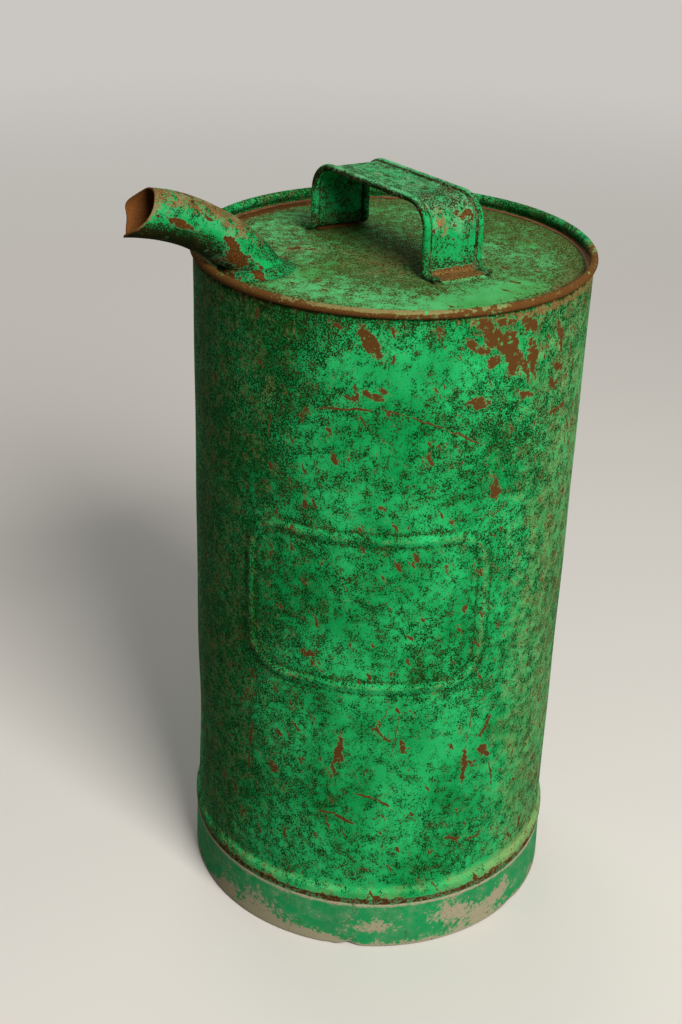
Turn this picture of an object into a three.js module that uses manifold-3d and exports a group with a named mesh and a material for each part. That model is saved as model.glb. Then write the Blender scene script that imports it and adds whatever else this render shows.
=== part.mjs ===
// A tall kerosene can of painted sheet steel: a rolled body with a wired rim, a recessed crowned top,
// a raised bottom inside a foot band, a fixed strap handle with wired edges and a bent pouring spout.
// Millimetres and degrees, +Z up, +X the way the spout pours, origin under the middle of the whole can.
import * as THREE from 'three';
import { mergeVertices } from 'three/addons/utils/BufferGeometryUtils.js';
import Module from 'manifold-3d';

const wasm = await Module();
wasm.setup();

// Sheet and fits
const SHEET = 0.8;
const CLEARANCE = 0.3;

// Body and rim
const CAN_DIAMETER = 238;
const CAN_HEIGHT = 439;
const RIM_WIRE = 2.8;
const RIM_NECK = 5;
const CURL_TURN = 250;
const SEAM_WIDTH = 7;
const SEAM_RISE = 1.4;

// Flare of the body over the foot band
const FLARE_STEP = 2.4;
const FLARE_STRAIGHT = 4;
const FLARE_BLEND = 4;

// Foot band
const BAND_HEIGHT = 34.3;
const BAND_CREVICE = 5;
const BAND_SHOULDER = 0.5;
const BAND_SPREAD = 0.7;
const BAND_HEM = 6;

// Bottom and top panels
const BOTTOM_HEIGHT = 16;
const BOTTOM_FLANGE = 12;
const BOTTOM_DISH = 2;
const TOP_RECESS = 8;
const TOP_CROWN = 2.7;
const TOP_FLANGE = 12;
const PANEL_CORNER = 3;
const SEAM_SOLDER_WIDTH = 3.4;
const SEAM_SOLDER_RISE = 0.5;

// Strap handle
const HANDLE_SPAN = 104.5;
const HANDLE_WIDTH = 39;
const HANDLE_RISE = 44.4;
const HANDLE_BEND = 16;
const HANDLE_WIRE = 3.2;
const HANDLE_NECK = 4;
const HANDLE_TURN = 12;
const HANDLE_RACK = 9.6;
const FOOT_REACH = 11;
const FOOT_BEND = 4.5;
const FOOT_HEM = 0.6;
const FOOT_SOLDER_SPILL = 4;

// Spout
const SPOUT_BEND = 102;
const SPOUT_RIM_GAP = 0.8;
const RIM_LEAN = 39;
const MOUTH_LEAN = 8;
const MOUTH_TILT = 21;
const BEAK_REACH = 7;
const BEAK_TURN = 218;
const BEAK_SPREAD = 36;
const EAR_REACH = 4.5;
const EAR_TURN = 80;
const EAR_SPREAD = 22;
const SPOUT_BASE_DIAMETER = 30;
const SPOUT_MOUTH_DIAMETER = 28;
const SPOUT_TAIL = 3;
const SPOUT_SOLDER_WIDTH = 6;
const SPOUT_SOLDER_HEIGHT = 5;

// Facet counts
const ROUND_STEPS = 60;
const CROWN_STEPS = 3;
const BLEND_STEPS = 3;
const CURL_STEPS = 7;
const CORNER_STEPS = 3;
const WIRE_SIDES = 8;
const BEND_STEPS = 2;
const SPOUT_SIDES = 24;
const SPOUT_STEPS = 8;
const SOLDER_STEPS = 4;

const radians = THREE.MathUtils.degToRad;
const point = (x, y) => new THREE.Vector2(x, y);

// The unit normal on the left of a line at each of its points, lengthened at the corners so that
// a parallel line drawn through the normals' ends keeps its distance.
function mitredNormals(line) {
  const runs = line.slice(1).map((p, i) => p.clone().sub(line[i]).normalize());
  return line.map((_, i) => {
    const arriving = runs[Math.max(i - 1, 0)];
    const leaving = runs[Math.min(i, runs.length - 1)];
    const tangent = arriving.clone().add(leaving).normalize();
    return point(-tangent.y, tangent.x).divideScalar(tangent.dot(leaving));
  });
}

// The closed outline of a sheet of even thickness, from the line along its middle.
function sheetOutline(middle) {
  const normals = mitredNormals(middle);
  const side = (sign) => middle.map((p, i) => p.clone().addScaledVector(normals[i], (sign * SHEET) / 2));
  return [...side(-1), ...side(1).reverse()];
}

// The outline of a sheet disc whose middle line starts on the axis, level there.
function discOutline(middle) {
  const mirrored = point(-middle[1].x, middle[1].y);
  return sheetOutline([mirrored, ...middle]).slice(1, -1);
}

// A cosine S-curve between two points that leaves the first and reaches the second along y.
function blend(from, to, steps) {
  return Array.from({ length: steps + 1 }, (_, i) => {
    const share = i / steps;
    const shift = (1 - Math.cos(Math.PI * share)) / 2;
    return point(from.x + (to.x - from.x) * shift, from.y + (to.y - from.y) * share);
  });
}

// Distance from the middle of an edge wire to the middle of the sheet curled round it.
const curlRadius = (wire) => wire / 2 + CLEARANCE + SHEET / 2;

// The middle line of a sheet edge curled over a wire: x runs towards the edge and y to the side that
// the neck steps to, so that the bead stands evenly on both sides of the sheet.
function wiredEdge(neck, wire) {
  const radius = curlRadius(wire);
  const step = blend(point(0, 0), point(radius, neck), BLEND_STEPS).map((p) => point(p.y, p.x));
  const curl = Array.from({ length: CURL_STEPS }, (_, i) => {
    const angle = Math.PI / 2 - (radians(CURL_TURN) * (i + 1)) / CURL_STEPS;
    return point(neck + radius * Math.cos(angle), radius * Math.sin(angle));
  });
  return [...step, ...curl];
}

function circle(radius, sides) {
  return Array.from({ length: sides }, (_, i) => {
    const angle = (2 * Math.PI * i) / sides;
    return point(radius * Math.cos(angle), radius * Math.sin(angle));
  });
}

// A solid turned about Z from an outline of (radius, height) points. An outline that is clear of
// the axis is closed on itself.
function turned(outline) {
  const clear = outline.every((p) => p.x > 0);
  const closed = clear ? [...outline, outline[0]] : outline;
  return new THREE.LatheGeometry(closed, ROUND_STEPS).rotateX(Math.PI / 2);
}

// A solid through rings of equal numbers of points. Given the outline that the rings repeat, it is
// capped at both ends, and without it the last ring joins the first.
function loft(rings, outline) {
  const size = rings[0].length;
  const spans = outline ? rings.length - 1 : rings.length;
  const index = [];
  for (let i = 0; i < spans; i++) {
    const low = i * size;
    const high = ((i + 1) % rings.length) * size;
    for (let j = 0; j < size; j++) {
      const k = (j + 1) % size;
      index.push(low + j, low + k, high + k, low + j, high + k, high + j);
    }
  }
  if (outline) {
    const last = (rings.length - 1) * size;
    for (const [a, b, c] of THREE.ShapeUtils.triangulateShape(outline, [])) {
      index.push(c, b, a, last + a, last + b, last + c);
    }
  }
  const geometry = new THREE.BufferGeometry().setFromPoints(rings.flat());
  geometry.setIndex(index);
  return geometry;
}

// Sections of (across, outward) points, one for each point of a line drawn in the X-Z plane, joined
// along that line.
function sweep(sections, line) {
  const normals = mitredNormals(line);
  const ring = (at, i) => sections[i].map((p) => {
    const place = at.clone().addScaledVector(normals[i], p.y);
    return new THREE.Vector3(place.x, p.x, place.y);
  });
  return loft(line.map(ring), sections[0]);
}

function toSolid(geometry) {
  const bare = new THREE.BufferGeometry();
  bare.setAttribute('position', geometry.getAttribute('position'));
  bare.setIndex(geometry.getIndex());
  const merged = mergeVertices(bare);
  const corners = Array.from(merged.getIndex().array);
  const triangles = [];
  for (let i = 0; i < corners.length; i += 3) {
    const [a, b, c] = corners.slice(i, i + 3);
    if (a !== b && b !== c && c !== a) triangles.push(a, b, c);
  }
  return new wasm.Manifold(new wasm.Mesh({
    numProp: 3,
    vertProperties: Float32Array.from(merged.getAttribute('position').array),
    triVerts: Uint32Array.from(triangles),
  }));
}

function toGeometry(solid) {
  const mesh = solid.getMesh();
  const geometry = new THREE.BufferGeometry();
  geometry.setAttribute('position', new THREE.BufferAttribute(mesh.vertProperties, mesh.numProp));
  geometry.setIndex(new THREE.BufferAttribute(mesh.triVerts, 1));
  return geometry;
}

const PAINT = { color: 0x18874a, roughness: 0.55, metalness: 0.1 };
const WORN_PAINT = { color: 0x3f7a48, roughness: 0.65, metalness: 0.15 };
const BARE_WIRE = { color: 0x6a4a36, roughness: 0.8, metalness: 0.4 };
const RUSTY_SOLDER = { color: 0x7c5a3c, roughness: 0.75, metalness: 0.3 };

function piece(name, geometry, finish) {
  geometry.computeVertexNormals();
  const mesh = new THREE.Mesh(geometry, new THREE.MeshStandardMaterial(finish));
  mesh.name = name;
  return mesh;
}

// Radii and heights that several pieces share
const canRadius = CAN_DIAMETER / 2;
const wallMiddle = canRadius - SHEET / 2;
const rimBead = curlRadius(RIM_WIRE) + SHEET / 2;
const rimCentre = CAN_HEIGHT - rimBead;
const neckStart = rimCentre - RIM_NECK;
const flareMiddle = wallMiddle + FLARE_STEP;
const flareBottom = BAND_HEIGHT + BAND_CREVICE;
const flareTop = flareBottom + FLARE_STRAIGHT + FLARE_BLEND;
const spigotMiddle = flareMiddle - SHEET - CLEARANCE;
const topEdge = CAN_HEIGHT - TOP_RECESS;
const panelRadius = canRadius - SHEET - CLEARANCE;

// Middle radius of the foot band's skirt, which spreads towards the floor.
function skirtMiddle(height) {
  const shoulder = spigotMiddle + BAND_SHOULDER;
  return shoulder + BAND_SPREAD * (1 - height / BAND_HEIGHT);
}

// Height of the crowned top panel's upper face at a distance from the can's axis.
function topFace(radius) {
  const flat = panelRadius - SHEET / 2 - PANEL_CORNER;
  return topEdge + TOP_CROWN * (1 - (radius / flat) ** 2);
}

// The body is one rolled sheet: flared over the foot band, straight up to the neck, and curled
// outwards over the rim wire. A lock seam closes it on the side away from the spout.
function bodyShell() {
  const flare = blend(
    point(flareMiddle, flareBottom + FLARE_STRAIGHT),
    point(wallMiddle, flareTop),
    BLEND_STEPS,
  );
  const rim = wiredEdge(RIM_NECK, RIM_WIRE).map((p) => point(wallMiddle - p.y, neckStart + p.x));
  const wall = turned(sheetOutline([point(flareMiddle, flareBottom), ...flare, ...rim]));

  const half = SEAM_WIDTH / 2;
  const slope = SEAM_RISE / 2;
  const fold = new THREE.Shape([
    point(-wallMiddle, -half),
    point(-canRadius - slope, -half),
    point(-canRadius - SEAM_RISE, -half + slope),
    point(-canRadius - SEAM_RISE, half - slope),
    point(-canRadius - slope, half),
    point(-wallMiddle, half),
  ]);
  const depth = neckStart - flareTop;
  const seam = new THREE.ExtrudeGeometry(fold, { depth, bevelEnabled: false });
  seam.translate(0, 0, flareTop);
  return toGeometry(toSolid(wall).add(toSolid(seam)));
}

function rimWire() {
  return turned(circle(RIM_WIRE / 2, WIRE_SIDES).map((p) => point(wallMiddle + p.x, rimCentre + p.y)));
}

// The foot band is a separate ring: its spigot goes up inside the body's flare, its shoulder stands
// a little below the flare, and its lower edge is hemmed inwards to a flat foot.
function baseBand() {
  const foot = skirtMiddle(0);
  const hem = foot - SHEET - CLEARANCE;
  return turned(sheetOutline([
    point(hem, BAND_HEM),
    point(hem, SHEET / 2),
    point(foot, SHEET / 2),
    point(skirtMiddle(BAND_HEIGHT), BAND_HEIGHT - SHEET / 2),
    point(spigotMiddle, BAND_HEIGHT + SHEET / 2),
    point(spigotMiddle, flareBottom + FLARE_STRAIGHT - CLEARANCE),
  ]));
}

// The bottom is a shallow pan, dished upwards, whose flange stands inside the foot band.
function bottomPanel() {
  const inside = SHEET + CLEARANCE;
  const level = BOTTOM_HEIGHT + SHEET / 2;
  const rim = skirtMiddle(level) - inside;
  const bend = point(rim - PANEL_CORNER, level + PANEL_CORNER);
  const dish = Array.from({ length: CROWN_STEPS + 1 }, (_, i) => {
    const share = i / CROWN_STEPS;
    return point(bend.x * share, level + BOTTOM_DISH * (1 - share ** 2));
  });
  const corner = Array.from({ length: CORNER_STEPS }, (_, i) => {
    const angle = (Math.PI / 2) * ((i + 1) / CORNER_STEPS - 1);
    return point(bend.x + PANEL_CORNER * Math.cos(angle), bend.y + PANEL_CORNER * Math.sin(angle));
  });
  const flangeTop = BOTTOM_HEIGHT + BOTTOM_FLANGE;
  return turned(discOutline([...dish, ...corner, point(skirtMiddle(flangeTop) - inside, flangeTop)]));
}

// A line round the top panel's edge at a radius from the centre of its corner, from the crown down to
// the flange.
function topCorner(radius) {
  const centre = point(panelRadius - SHEET / 2 - PANEL_CORNER, topEdge - SHEET / 2 - PANEL_CORNER);
  return Array.from({ length: CORNER_STEPS + 1 }, (_, i) => {
    const angle = (Math.PI / 2) * (1 - i / CORNER_STEPS);
    return point(centre.x + radius * Math.cos(angle), centre.y + radius * Math.sin(angle));
  });
}

// The top is a crowned disc with its flange turned down inside the wall, pierced for the spout.
function topPanel() {
  const corner = topCorner(PANEL_CORNER);
  const crown = Array.from({ length: CROWN_STEPS }, (_, i) => {
    const radius = (corner[0].x * i) / CROWN_STEPS;
    return point(radius, topFace(radius) - SHEET / 2);
  });
  const flange = point(panelRadius - SHEET / 2, topEdge - TOP_FLANGE);
  const disc = turned(discOutline([...crown, ...corner, flange]));
  return toGeometry(toSolid(disc).subtract(toSolid(spoutCore())));
}

// Solder run into the corner between the top panel's rounded edge and the wall.
function topSeamSolder() {
  const seat = topCorner(PANEL_CORNER + SHEET / 2 + CLEARANCE).slice(0, -1);
  const wall = panelRadius;
  const inner = wall - SEAM_SOLDER_WIDTH;
  const bed = topFace(inner) + CLEARANCE;
  return turned([
    point(inner, bed),
    ...seat.filter((p) => p.x > inner && p.x < wall),
    point(wall, topEdge - PANEL_CORNER / 2),
    point(wall, neckStart),
    point(inner, bed + SEAM_SOLDER_RISE),
  ]);
}

// The spout's centre line is an arc that passes over the rim bead with a small gap to spare. It is
// followed down to the edge level of the top panel and out to the mouth.
const overRim = rimBead + SPOUT_RIM_GAP + SPOUT_BASE_DIAMETER / 2;
const bendCentre = point(
  wallMiddle + (SPOUT_BEND - overRim) * Math.sin(radians(RIM_LEAN)),
  rimCentre - (SPOUT_BEND - overRim) * Math.cos(radians(RIM_LEAN)),
);
const footLean = Math.acos((topEdge - bendCentre.y) / SPOUT_BEND);
const spoutFoot = bendCentre.x - SPOUT_BEND * Math.sin(footLean);

// How far the mouth's edge stands out past its slanted cut at an angle round the tube: a pouring beak
// drawn out of the lower lip, and an ear bent out on the far side.
function lipReach(angle) {
  const swell = (reach, turn, spread) => {
    const away = THREE.MathUtils.euclideanModulo(angle - radians(turn) + Math.PI, 2 * Math.PI) - Math.PI;
    return reach * Math.exp(-((away / radians(spread)) ** 2));
  };
  return swell(BEAK_REACH, BEAK_TURN, BEAK_SPREAD) + swell(EAR_REACH, EAR_TURN, EAR_SPREAD);
}

// A ring of the spout. The one at a share of 0 lies flat at the top panel, the one at 1 is the mouth,
// tilted so that the lower lip stands out further, and a share below 0 is the tail under the panel.
function spoutRing(share, radius) {
  const reach = Math.max(share, 0);
  const lean = THREE.MathUtils.lerp(footLean, radians(MOUTH_LEAN), reach);
  const along = new THREE.Vector3(Math.cos(lean), 0, Math.sin(lean));
  const square = new THREE.Vector3(-along.z, 0, along.x);
  const centre = new THREE.Vector3(bendCentre.x, 0, bendCentre.y).addScaledVector(square, SPOUT_BEND);
  if (share < 0) centre.addScaledVector(along, -SPOUT_TAIL / along.z);
  const flat = (Math.PI / 2 - footLean) * (1 - reach) ** 3;
  const tilt = flat + radians(MOUTH_TILT) * reach ** 3;
  const upward = square.clone().addScaledVector(along, -Math.tan(tilt));
  return circle(radius, SPOUT_SIDES).map((p) => {
    const place = centre.clone().addScaledVector(upward, p.x);
    place.addScaledVector(along, lipReach(p.angle()) * reach ** 3);
    return place.setY(-p.y);
  });
}

const spoutShares = [-1, ...Array.from({ length: SPOUT_STEPS + 1 }, (_, i) => i / SPOUT_STEPS)];

function spoutRadius(share) {
  return THREE.MathUtils.lerp(SPOUT_BASE_DIAMETER, SPOUT_MOUTH_DIAMETER, Math.max(share, 0)) / 2;
}

function spoutTube() {
  const outside = spoutShares.map((share) => spoutRing(share, spoutRadius(share)));
  const bore = spoutShares.map((share) => spoutRing(share, spoutRadius(share) - SHEET));
  return loft([...outside, ...bore.reverse()]);
}

// The solid that keeps the panel and the solder clear of the spout.
function spoutCore() {
  const rings = spoutShares.map((share) => spoutRing(share, spoutRadius(share) + CLEARANCE));
  return loft(rings, circle(1, SPOUT_SIDES));
}

// Solder round the foot of the spout: a concave skirt that narrows upwards along the leaning tube,
// seated on the top panel and kept clear of the solder along the wall.
function spoutSolder() {
  const radius = SPOUT_BASE_DIAMETER / 2 + CLEARANCE;
  const seat = topFace(spoutFoot);
  const outline = circle(1, SPOUT_SIDES);
  const ring = (rise, spread) => outline.map((p) => new THREE.Vector3(
    spoutFoot + (seat + rise - topEdge) / Math.tan(footLean) + p.x * (radius / Math.sin(footLean) + spread),
    p.y * (radius + spread),
    seat + rise,
  ));
  const skirt = Array.from({ length: SOLDER_STEPS + 1 }, (_, i) => {
    const share = i / SOLDER_STEPS;
    const spread = SHEET + (SPOUT_SOLDER_WIDTH - SHEET) * (1 - share) ** 2;
    return ring(SPOUT_SOLDER_HEIGHT * share, spread);
  });
  const flared = loft([ring(-TOP_CROWN, SPOUT_SOLDER_WIDTH), ...skirt], outline);

  const limit = panelRadius - SEAM_SOLDER_WIDTH - CLEARANCE;
  const floor = Array.from({ length: CROWN_STEPS + 1 }, (_, i) => {
    const distance = (limit * i) / CROWN_STEPS;
    return point(distance, topFace(distance) + CLEARANCE);
  });
  const ceiling = topFace(0) + 2 * SPOUT_SOLDER_HEIGHT;
  const room = turned([...floor, point(limit, ceiling), point(0, ceiling)]);
  return toGeometry(toSolid(flared).subtract(toSolid(spoutCore())).intersect(toSolid(room)));
}

// The handle stands across the top. Its middle line runs from one soldered foot to the other. Its wired
// edges are pressed down to narrow hems along the feet, and the wires end above them.
const beadOf = (wire) => curlRadius(wire) + SHEET / 2;
const legPlace = HANDLE_SPAN / 2;
const footTip = legPlace + FOOT_REACH;
const footLevel = topFace(legPlace) + CLEARANCE + beadOf(FOOT_HEM);
const legBottom = footLevel + FOOT_BEND;
const gripLevel = topFace(0) + HANDLE_RISE - beadOf(HANDLE_WIRE);

function handleLine() {
  const path = new THREE.Path();
  path.moveTo(-footTip, footLevel);
  path.lineTo(-legPlace - FOOT_BEND, footLevel);
  path.absarc(-legPlace - FOOT_BEND, legBottom, FOOT_BEND, -Math.PI / 2, 0, false);
  path.absarc(-legPlace + HANDLE_BEND, gripLevel - HANDLE_BEND, HANDLE_BEND, Math.PI, Math.PI / 2, true);
  path.absarc(legPlace - HANDLE_BEND, gripLevel - HANDLE_BEND, HANDLE_BEND, Math.PI / 2, 0, true);
  path.absarc(legPlace + FOOT_BEND, legBottom, FOOT_BEND, Math.PI, 1.5 * Math.PI, false);
  path.lineTo(footTip, footLevel);
  return path.getPoints(BEND_STEPS);
}

// How far across the strap the middle of an edge curled round a wire stands.
const edgePlace = (wire) => HANDLE_WIDTH / 2 - beadOf(wire);

// The strap's section at a height of its middle line.
function strapSection(height) {
  const share = THREE.MathUtils.clamp((height - footLevel) / FOOT_BEND, 0, 1);
  const wire = THREE.MathUtils.lerp(FOOT_HEM, HANDLE_WIRE, share);
  const neckEnd = edgePlace(wire) - HANDLE_NECK;
  const edge = wiredEdge(HANDLE_NECK, wire).map((p) => point(neckEnd + p.x, p.y));
  const mirrored = edge.map((p) => point(-p.x, p.y)).reverse();
  return sheetOutline([...mirrored, ...edge]);
}

function handleStrap() {
  const line = handleLine();
  return sweep(line.map((p) => strapSection(p.y)), line);
}

function handleWire(side) {
  const place = side * edgePlace(HANDLE_WIRE);
  const section = circle(HANDLE_WIRE / 2, WIRE_SIDES).map((p) => point(p.x + place, p.y));
  const line = handleLine().filter((p) => p.y > legBottom - CLEARANCE);
  return sweep(line.map(() => section), line);
}

// Solder under one foot of the handle, between its two hems, spilling out past the foot's tip.
function footSolder(side) {
  const heel = legPlace;
  const spill = footTip + FOOT_SOLDER_SPILL;
  const under = footLevel - SHEET / 2 - CLEARANCE;
  const pad = new THREE.Shape([
    point(heel, topFace(heel) + CLEARANCE),
    point(spill, topFace(spill) + CLEARANCE),
    point(spill, topFace(spill) + 2 * CLEARANCE),
    point(footTip + CLEARANCE, footLevel),
    point(footTip + CLEARANCE, under),
    point(heel + FOOT_BEND, under),
    point(heel, under - CLEARANCE),
  ]);
  const depth = 2 * (edgePlace(FOOT_HEM) - HANDLE_NECK);
  const solder = new THREE.ExtrudeGeometry(pad, { depth, bevelEnabled: false });
  solder.translate(0, 0, -depth / 2);
  solder.rotateX(Math.PI / 2);
  return side > 0 ? solder : solder.rotateZ(Math.PI);
}

// The handle has been pushed out of square: its far edge stands further along than its spout side.
const rack = new THREE.Matrix4().makeShear(0, 0, Math.tan(radians(HANDLE_RACK)), 0, 0, 0);
const racked = (geometry) => geometry.applyMatrix4(rack);

const handle = new THREE.Group();
handle.rotation.z = radians(90 + HANDLE_TURN);
handle.add(
  piece('handle_strap', racked(handleStrap()), PAINT),
  piece('handle_wire_spout_side', racked(handleWire(-1)), BARE_WIRE),
  piece('handle_wire_far_side', racked(handleWire(1)), BARE_WIRE),
  piece('handle_solder_left', racked(footSolder(1)), RUSTY_SOLDER),
  piece('handle_solder_right', racked(footSolder(-1)), RUSTY_SOLDER),
);

const spout = piece('spout_tube', spoutTube(), WORN_PAINT);
spout.geometry.computeBoundingBox();

// The can's axis stands behind the origin, so that the origin is midway between the spout's lip and
// the back of the foot band.
const body = new THREE.Group();
body.position.x = (skirtMiddle(0) + SHEET / 2 - spout.geometry.boundingBox.max.x) / 2;
body.add(
  piece('body_shell', bodyShell(), PAINT),
  piece('rim_wire', rimWire(), BARE_WIRE),
  piece('base_band', baseBand(), WORN_PAINT),
  piece('bottom_panel', bottomPanel(), PAINT),
  piece('top_panel', topPanel(), WORN_PAINT),
  piece('top_seam_solder', topSeamSolder(), RUSTY_SOLDER),
  spout,
  piece('spout_solder', spoutSolder(), PAINT),
  handle,
);

const can = new THREE.Group();
can.add(body);

export default can;
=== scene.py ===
import bmesh
import bpy
import numpy as np
from mathutils import Matrix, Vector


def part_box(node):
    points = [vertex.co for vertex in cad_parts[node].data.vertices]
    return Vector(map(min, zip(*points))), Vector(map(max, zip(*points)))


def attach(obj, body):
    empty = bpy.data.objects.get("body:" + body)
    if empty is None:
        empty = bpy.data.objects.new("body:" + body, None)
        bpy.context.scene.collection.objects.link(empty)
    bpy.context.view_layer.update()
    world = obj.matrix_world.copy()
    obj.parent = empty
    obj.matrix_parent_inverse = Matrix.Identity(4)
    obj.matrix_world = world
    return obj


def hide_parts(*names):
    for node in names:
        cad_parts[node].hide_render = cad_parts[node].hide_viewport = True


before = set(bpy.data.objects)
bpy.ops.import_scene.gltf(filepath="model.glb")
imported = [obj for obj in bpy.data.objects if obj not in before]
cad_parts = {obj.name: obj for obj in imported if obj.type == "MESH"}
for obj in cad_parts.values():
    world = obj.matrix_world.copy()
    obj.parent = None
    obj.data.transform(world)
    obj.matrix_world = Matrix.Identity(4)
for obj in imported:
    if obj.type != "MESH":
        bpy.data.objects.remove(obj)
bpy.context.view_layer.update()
scene = bpy.context.scene
scene.view_settings.view_transform = "Standard"

# The set: a camera where the photographer stood, a plain pale floor, and soft light.
# The key light stands high on the right of the camera, so the can's left side falls into shade. The
# floor is a ring of paper, open inside the foot, so that a lamp below lights the can's bottom.
CAMERA_PLACE = (0.4058, 0.8088, 0.7326)
CAMERA_LENS = 56.07
CAMERA_HEADING = -116.38
CAMERA_DOWN = 27.49
CAMERA_ROLL = 1.91


def aim(thing, place, heading, down, roll):
    """Stands a camera or lamp at a place, turned to a heading, tipped down and rolled, in degrees."""
    heading, down, roll = np.radians([heading, down, roll])
    ahead = np.array([np.cos(heading) * np.cos(down), np.sin(heading) * np.cos(down), -np.sin(down)])
    level = np.array([np.sin(heading), -np.cos(heading), 0])
    right = np.cos(roll) * level + np.sin(roll) * np.cross(level, ahead)
    placed = np.eye(4)
    placed[:3, :3] = np.stack([right, np.cross(-ahead, right), -ahead], axis=1)
    placed[:3, 3] = place
    thing.matrix_world = Matrix(placed.tolist())


def hex_colour(text):
    """Linear red, green, blue and 1 from an sRGB hex value such as #18874a."""
    value = np.array([int(text[i:i + 2], 16) for i in (1, 3, 5)]) / 255
    linear = np.where(value <= 0.04045, value / 12.92, ((value + 0.055) / 1.055) ** 2.4)
    return (*linear, 1.0)


def add(tree, kind, sockets=None, out=0, **settings):
    """Adds a node, sets its properties, fills its sockets with links or values, and gives an output."""
    made = tree.nodes.new(kind)
    for key, value in settings.items():
        setattr(made, key, value)
    for key, value in (sockets or {}).items():
        if isinstance(value, bpy.types.NodeSocket):
            tree.links.new(value, made.inputs[key])
        else:
            made.inputs[key].default_value = value
    return made.outputs[out] if made.outputs else made


def maths(tree, operation, *values):
    """Adds a node that works out a number from others."""
    return add(tree, "ShaderNodeMath", dict(enumerate(values)), operation=operation)


def ramp(tree, value, low, high, start=0, end=1, **settings):
    """Adds a node that goes from start to end while a value goes from low to high, and no further."""
    return add(tree, "ShaderNodeMapRange", {"Value": value, "From Min": low, "From Max": high,
                                            "To Min": start, "To Max": end}, **settings)


def blend(tree, share, under, over):
    """Adds a node that lays one colour over another as far as a share says."""
    return add(tree, "ShaderNodeMix", {0: share, 6: under, 7: over}, 2, data_type="RGBA")


def fresh_nodes(owner):
    """Turns on the nodes of a material or world and gives their tree, emptied."""
    owner.use_nodes = True
    owner.node_tree.nodes.clear()
    return owner.node_tree


def seen_rays(tree):
    """1 for what the camera sees straight, mirrored or through something clear, and 0 for other light."""
    path = tree.nodes.new("ShaderNodeLightPath").outputs
    seen = maths(tree, "MAXIMUM", path["Is Camera Ray"], path["Is Glossy Ray"])
    return maths(tree, "MAXIMUM", seen, path["Is Transmission Ray"])


camera = bpy.data.objects.new("camera", bpy.data.cameras.new("camera"))
scene.collection.objects.link(camera)
aim(camera, CAMERA_PLACE, CAMERA_HEADING, CAMERA_DOWN, CAMERA_ROLL)
camera.data.lens = CAMERA_LENS
camera.data.sensor_width = 36
camera.data.clip_start = 0.02
scene.camera = camera

FLOOR_COLOUR = "#d9d6d0"
BOARD_COLOUR = "#6b6259"
FLOOR_DROP = 0.0003
FLOOR_OPENING = 0.108
FLOOR_REACH = 8
FLOOR_STEPS = 64
low_corner, high_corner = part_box("body_shell")
axis_x = (low_corner.x + high_corner.x) / 2
floor_step = np.arange(FLOOR_STEPS)
floor_next = (floor_step + 1) % FLOOR_STEPS
floor_turn = 2 * np.pi * floor_step / FLOOR_STEPS
floor_round = np.stack([np.cos(floor_turn), np.sin(floor_turn), 0 * floor_turn], axis=1)
floor_places = np.vstack([floor_round * FLOOR_OPENING, floor_round * FLOOR_REACH])
floor_places = floor_places + [axis_x, 0, -FLOOR_DROP]
floor_faces = np.stack([floor_step, floor_step + FLOOR_STEPS, floor_next + FLOOR_STEPS, floor_next], axis=1)
floor_mesh = bpy.data.meshes.new("floor")
floor_mesh.from_pydata(floor_places.tolist(), [], floor_faces.tolist())
floor = bpy.data.objects.new("floor", floor_mesh)
scene.collection.objects.link(floor)
matt_floor = bpy.data.materials.new("matt_paper")
paper = fresh_nodes(matt_floor)
# The paper fades into the backdrop with distance and is clear from below.
away = add(paper, "ShaderNodeTexCoord", out="Object")
away = add(paper, "ShaderNodeVectorMath", {0: away}, "Value", operation="LENGTH")
away = ramp(paper, away, 0.7, 2.6, interpolation_type="SMOOTHSTEP")
facing = add(paper, "ShaderNodeNewGeometry", out="Backfacing")
away = maths(paper, "MAXIMUM", away, facing)
# Light that it throws back onto the can is that of a darker board, so that the can keeps a shaded side.
board = blend(paper, seen_rays(paper), hex_colour(BOARD_COLOUR), hex_colour(FLOOR_COLOUR))
matt = add(paper, "ShaderNodeBsdfDiffuse", {"Color": board})
clear = add(paper, "ShaderNodeBsdfTransparent")
one_sided = add(paper, "ShaderNodeMixShader", {0: away, 1: matt, 2: clear})
add(paper, "ShaderNodeOutputMaterial", {"Surface": one_sided})
floor_mesh.materials.append(matt_floor)

SKY_COLOUR = "#f4f6fa"
SKY_LIGHT = 0.14
BACKDROP_LIGHT = 0.85
world = bpy.data.worlds.new("studio")
scene.world = world
sky = fresh_nodes(world)
seen = seen_rays(sky)
backdrop = add(sky, "ShaderNodeBackground", {"Color": hex_colour(FLOOR_COLOUR), "Strength": BACKDROP_LIGHT})
daylight = add(sky, "ShaderNodeBackground", {"Color": hex_colour(SKY_COLOUR), "Strength": SKY_LIGHT})
sky_mix = add(sky, "ShaderNodeMixShader", {0: seen, 1: daylight, 2: backdrop})
add(sky, "ShaderNodeOutputWorld", {"Surface": sky_mix})

# Lamps: place and size in metres and power in watts. All of them face the middle of the can.
LAMP_COLOUR = (1.0, 0.97, 0.93)
LAMP_AIM = (0, 0, 0.26)
for lamp_name, lamp_place, lamp_size, lamp_power in (
    ("key_light", (-0.09, 1.77, 1.75), 1.0, 70),
    ("back_light", (-0.3, -1.6, 1.9), 1.4, 14),
    ("under_light", (0, 0, -1.2), 0.5, 12),
):
    lamp = bpy.data.objects.new(lamp_name, bpy.data.lights.new(lamp_name, "AREA"))
    scene.collection.objects.link(lamp)
    lamp.data.energy = lamp_power
    lamp.data.size = lamp_size
    lamp.data.color = LAMP_COLOUR
    toward = np.subtract(LAMP_AIM, lamp_place)
    spin = np.degrees(np.arctan2(toward[1], toward[0]))
    drop = np.degrees(np.arcsin(-toward[2] / np.linalg.norm(toward)))
    aim(lamp, lamp_place, spin, drop, 0)

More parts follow.
